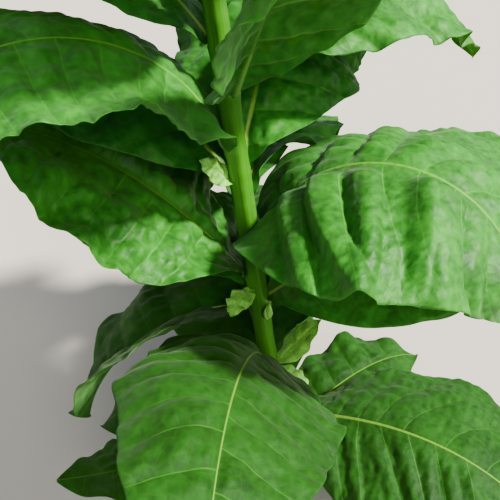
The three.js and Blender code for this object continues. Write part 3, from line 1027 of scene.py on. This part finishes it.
# Each row starts with the name, node, facing, length, half, rise, bend and phase, and most with both halves.
GROWN = (
    Leaf("leaf_01", 96, 34, 285, 76, 34, 70, 0.5, (8, 36, 40), (-5, 30, 40), power=1.3, sway=-7, roll=3),
    Leaf("leaf_02", 124, 213, 330, 96, 24, 12, 1.5, (12, 24, 40), (-11, 36, 40), power=1.3, sway=-18,
         roll=5, ruffle=5),
    Leaf("leaf_03", 168, -24, 482, 151, 30, 90, 2.6, (-17, 16, 43), power=1.42, sway=-22, roll=10,
         lift_to=0.08, ruffle=5, fineness=CLOSE, relief=Relief(quilt=3.2, evenness=0.8),
         veins_left=LOW_LEAF_VEINS_FAR, veins_right=LOW_LEAF_VEINS_NEAR, ridges_right=LOW_LEAF_RIDGES),
    Leaf("leaf_04", 180, 104, 460, 132, 26, 76, 0.3, (-4, 30, 45), (-6, 34, 45), sway=8, fineness=FAR),
    Leaf("leaf_05", 215, 184, 262, 90, 26, 76, 3.9, (-6, 30, 45), (-8, 30, 45), power=1, sway=6, ruffle=6),
    Leaf("leaf_06", 300, 86, 460, 130, 30, 80, 2.2, (-6, 30, 45), (-4, 32, 45), sway=-8, fineness=FAR),
    Leaf("leaf_07", 310, -101, 500, 116, 56, 90, 4.4, (-30, 2, 0), (27, 64, 30), power=1.8, sway=9, roll=2,
         lift_to=0.1, ruffle=5, stout=0.8, relief=Relief(quilt=3.6, puff=0.15, pucker=0.5, evenness=0.8),
         fineness=CLOSE),
    Leaf("leaf_08", 430, 136, 440, 112, 28, 76, 5.2, right=(-8, 30, 45), sway=8, fineness=FAR),
    Leaf("leaf_09", 396, 192, 308, 110, 28, 104, 0.9, (30, -10, 45), (12, 38, 45), power=0.66, sway=6,
         roll=5, ruffle=5),
    Leaf("leaf_10", 414, 3, 398, 125, 43, 66, 1.9, right=(-3, 25, 45), power=1.55, sway=1, lift_to=0.13,
         ruffle=5),
    Leaf("leaf_11", 453, 169, 368, 131, 52, 46, 2.8, (9, 12, 49), (4, 54, -17), power=1.4, sway=14, roll=-6,
         lift_to=0.27, relief=Relief(quilt=5.5, puff=0.25, pucker=1.4, swell=5.0), fineness=CLOSE),
    Leaf("leaf_12", 477, 34, 480, 120, 40, 86, 3.3, (-24, 52, 45), (8, 20, 45), power=1.05, sway=-2,
         roll=-4),
    Leaf("leaf_13", 504, -15, 434, 174, 82, 173, 5.9, (-7, 28, 45, 0.33), (3, 23, 58), power=1.12, sway=-42,
         lift_to=0.19, ruffle=4, stout=1.5,
         relief=Relief(quilt=6.5, puff=0.4, pucker=0.5, swell=1.2, evenness=0.85), fineness=CLOSE,
         veins_left=BIG_LEAF_VEINS_FAR, veins_right=BIG_LEAF_VEINS, ridges_right=BIG_LEAF_RIDGES),
    Leaf("leaf_14", 552, 101, 475, 102, 20, 109, 0.1, (15, 28, 55), (-5, 38, 69), power=1.03, sway=-6,
         fineness=FAR),
    Leaf("leaf_15", 565, 76, 428, 79, 29.5, 77, 1.1, (30, 24, 35), (13, 25, 63), power=0.48, sway=1, roll=3,
         lift_to=0.29, ruffle=10),
    Leaf("leaf_16", 588, 146, 420, 98, 46, 80, 2.4, power=1, ruffle=5),
    Leaf("leaf_17", 607, 74, 434, 134, 53, 112, 3.7, right=(-13, 52, 62), power=1.3, sway=5, roll=4,
         lift_to=0.24, ruffle=8, fineness=CLOSE),
    Leaf("leaf_18", 634, 200, 430, 128, 80, 130, 4.8, (-21, -48, 50), (2, 50, 45), power=0.95, sway=56,
         roll=-7, lift_to=0.2, ruffle=6, stout=0.7, fineness=CLOSE),
    Leaf("leaf_19", 698, -57, 480, 138, 65, 38, 0.7, (-21, 2, 10), (-26, 8, 0), power=1.3, sway=-11, roll=9,
         ruffle=5, fineness=CLOSE),
    Leaf("leaf_20", 708, 40, 394, 95, 38, 98, 1.7, (7, 70, 40), (-4, 24, 40), power=1, sway=-28, ruffle=8),
    Leaf("leaf_21", 744, 152, 407, 104, 52, 112, 2.9, (-6, 8, 45), (-25, 36, 45), power=1.03, roll=2),
    Leaf("leaf_22", 772, 92, 385, 104, 58, 112, 4.1, (-6, 30, 45), (-6, 30, 45), sway=5),
)

SHOOT_RELIEF = Relief(quilt=1.4, puff=0.2, pucker=0.8, swell=1.0, flutter=0.9)
SIDE_SHOOTS = tuple(replace(shoot, relief=SHOOT_RELIEF) for shoot in (
    Leaf("shoot_1", 280, 12, 90, 24, 55, 12, 1, (5, 20, 20), (5, 20, 20), sway=8, ruffle=2),
    Leaf("shoot_2", 278, -30, 56, 14, 10, 50, 2, (5, 30, 20), (5, 30, 20), power=1, sway=-10, ruffle=2,
         fineness=SMALL),
    Leaf("shoot_3", 434, 236, 52, 15, 30, 60, 3, (5, 30, 20), (5, 30, 20), power=1, sway=20, ruffle=3,
         fineness=SMALL),
    Leaf("shoot_4", 590, 206, 50, 13, 58, 20, 4, (5, 30, 20), (5, 30, 20), power=1, sway=-12, roll=-45,
         ruffle=3, fineness=SMALL),
))

SHADED_BELOW = 400  # leaves whose node is lower take the darker skins, painted shade for the leaves above them
YOUNG_COUNT = 13
SPIRAL = 137.5
BUD_SEAT = 0.59  # distance of the axil bud's axis from the stem's skin, in its radii
AXIL_BUD = Bud("axil_bud", node=386, facing=-62, length=34, radius=6.5, tilt=10)
TIP_BUD = Bud("tip_bud", node=STEM_TOP - 6, facing=0, length=34, radius=5.2, tilt=-6.5, laps=4)


def young_leaf(i: int) -> Leaf:
    """A leaf of the top: smaller, closer and steeper from one to the next, in a steady spiral.

    Args:
        i: Its number among them, 0 for the lowest.

    Returns:
        The leaf.
    """
    length = 390 - 19 * i - 0.43 * i * i
    fold = (-4 + 1.5 * i, 27 - 1.4 * i, 20 - 0.8 * i)
    return Leaf(
        f"leaf_{len(GROWN) + 1 + i}", node=800 + 28.6 * i - 0.7 * i * i, facing=252 + SPIRAL * i,
        length=length, half=length * (0.262 - 0.00092 * i * i), rise=66 + 0.12 * i * i,
        bend=70 - 0.32 * i * i, power=1.4, sway=(1 if i % 2 == 0 else -1) * (6 - 0.35 * i),
        left=fold, right=fold, ruffle=6 - 0.4 * i, phase=5.3 + 1.15 * i,
        relief=Relief(4.0 - 0.24 * i, 0.3, 0.8 - 0.05 * i, 2.2 - 0.13 * i, 2.4 - 0.15 * i),
        fineness=FAR if i < 8 else SMALL,
    )


@dataclass(frozen=True)
class Sun:
    """One far light of the studio.

    Attributes:
        name: Name of the light.
        azimuth, elevation: Direction that it comes from, round from +X and above level.
        strength: Its strength, in watts a square metre.
        angle: Its apparent size: the larger, the softer its shadows.
    """

    name: str
    azimuth: float
    elevation: float
    strength: float
    angle: float

    def build(self) -> None:
        """Adds the light."""
        data = bpy.data.lights.new(self.name, "SUN")
        data.energy = self.strength
        data.angle = math.radians(self.angle)
        data.color = (1.0, 0.96, 0.88)
        light = bpy.data.objects.new(self.name, data)
        light.rotation_euler = (0, math.radians(90 - self.elevation), math.radians(self.azimuth))
        bpy.context.scene.collection.objects.link(light)


@dataclass(frozen=True)
class Studio:
    """Plain pale floor, soft light and the photograph's camera.

    Attributes:
        suns: A key light that draws the folds, and a broad fill.
        sky_strength: Strength of the even light from all round.
        floor_half, floor_colour: Half the width of the floor, and the colour of its paint.
    """

    suns: tuple[Sun, ...] = (Sun("key", -14, 50, 12.0, 6), Sun("fill", -70, 42, 2.2, 25))
    sky_strength: float = 0.8
    floor_half: float = 6000.0
    floor_colour: str = "#9a968f"

    def camera(self) -> None:
        """Sets the scene's camera at the photograph's place and angle."""
        data = bpy.data.cameras.new("camera")
        data.sensor_width = SENSOR_MM
        data.lens = SENSOR_MM * FOCAL_PX / IMAGE_PX
        camera = bpy.data.objects.new("camera", data)
        camera.location = [c * MM for c in CAMERA_AT]
        camera.rotation_euler = (math.radians(90 - CAMERA_PITCH), 0, 0)
        bpy.context.scene.collection.objects.link(camera)
        bpy.context.scene.camera = camera

    def film(self) -> None:
        """Sets a tone curve that keeps the shaded greens deep and turns the brightest ones pale."""
        bpy.context.scene.view_settings.view_transform = "AgX"
        bpy.context.scene.view_settings.look = "AgX - Medium High Contrast"

    def lights(self) -> None:
        """Adds the key, the broad fill and the even sky."""
        for sun in self.suns:
            sun.build()
        world = bpy.data.worlds.new("sky")
        world.use_nodes = True
        tree = world.node_tree
        tree.nodes.clear()
        node(tree, "OutputWorld", (node(tree, "Background", ((0.86, 0.92, 1.0, 1.0), self.sky_strength)),))
        bpy.context.scene.world = world

    def floor(self) -> None:
        """Adds the pale floor at ground level."""
        half = self.floor_half
        points = np.array([[-half, -half, 0], [half, -half, 0], [half, half, 0], [-half, half, 0]])
        # Board under matt emulsion, rolled on: it takes soft shadows and has no shine
        paint, tree = blank("matt emulsion, rolled")
        shader = node(tree, "BsdfPrincipled", {"Base Color": self.floor_colour, "Roughness": 0.9})
        node(tree, "OutputMaterial", (shader,))
        add_mesh("floor", points, np.array([[0, 1, 2, 3]]), [paint])


class TobaccoPlant:
    """The whole plant, built and dressed in order."""

    def __init__(self) -> None:
        """Makes the finishes and lists the leaves."""
        self.leaf_skins = [UPPER.build(), UNDER.build()]
        # Skins of the low leaves, darkened as painted shade
        self.shaded_low_skins = [LOW_SHADED_UPPER.build(), LOW_SHADED_UNDER.build()]
        self.young_skins = [YOUNG_UPPER.build(), YOUNG_UNDER.build()]
        self.stem_skin = STEM_SKIN.build()
        self.leaves = list(GROWN) + [young_leaf(i) for i in range(YOUNG_COUNT)]

    def dress(self, piece: Object, slot: Slot, *nodes: str) -> None:
        """Ties a piece to the plant.

        Args:
            piece: The piece.
            slot: The record's material slot; not used.
            *nodes: Nodes of the model that it stands for.
        """
        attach(piece, "root")
        if nodes:
            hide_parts(*nodes)
        LOG.info("%s: %d faces", piece.name, len(piece.data.polygons))

    def build(self) -> None:
        """Builds the stem, the leaves, the side shoots and the buds."""
        self.dress(Stem().build(self.leaves, self.stem_skin), Slot.STEM, "stem")
        for leaf in self.leaves:
            # Low leaves take the darker skins, whose deeper green is painted shade
            skins = self.shaded_low_skins if leaf.node < SHADED_BELOW else self.leaf_skins
            self.dress(LeafMesh(leaf).build(skins), Slot.LEAF, leaf.name)
        for shoot in SIDE_SHOOTS:
            self.dress(LeafMesh(shoot).build(self.young_skins), Slot.YOUNG, shoot.name)
        out = float(stem_radius(np.float64(AXIL_BUD.node))) + CLEARANCE + BUD_SEAT * AXIL_BUD.radius
        self.dress(replace(AXIL_BUD, out=out).build(self.young_skins), Slot.YOUNG, "axil_bud")
        self.dress(TIP_BUD.build(self.young_skins), Slot.YOUNG)


def main() -> None:
    """Builds the plant and the studio."""
    logging.basicConfig(level=logging.INFO, format="%(name)s %(message)s")
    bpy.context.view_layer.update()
    studio = Studio()
    studio.camera()
    studio.film()
    studio.lights()
    studio.floor()
    TobaccoPlant().build()


if __name__ == "__main__":
    main()
